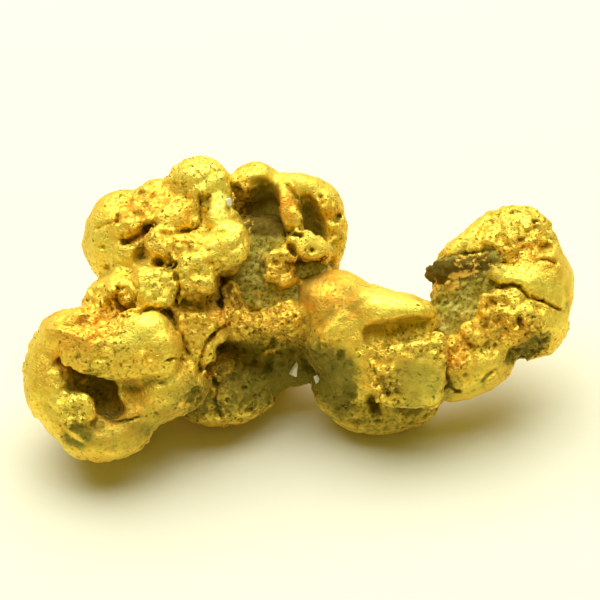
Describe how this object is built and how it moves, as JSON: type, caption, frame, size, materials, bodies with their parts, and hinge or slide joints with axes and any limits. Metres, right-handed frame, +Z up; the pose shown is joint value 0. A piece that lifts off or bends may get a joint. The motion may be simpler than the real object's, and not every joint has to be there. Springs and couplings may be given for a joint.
{
  "type": "natural gold nugget",
  "caption": "Lumpy water-worn gold nugget with a raised arm, deep hollows and grey-green host rock left in two pockets.",
  "frame": {"origin": "bottom centre of the bounding box, on the surface that the nugget rests on", "axes": "+X along the nugget from its left lobe to the elbow of its arm, +Y away from the face, +Z up"},
  "size_m": [0.022, 0.0116, 0.0098],
  "materials": {
    "native_gold": "native gold, stream-worn and pitted, satin with olive shading in its hollows",
    "host_rock": "fine-grained grey-green rock, dull and slightly crumbly"
  },
  "bodies": {
    "root": {"nugget": "native_gold", "host_rock_pocket": "host_rock", "host_rock_notch": "host_rock"}
  },
  "joints": []
}
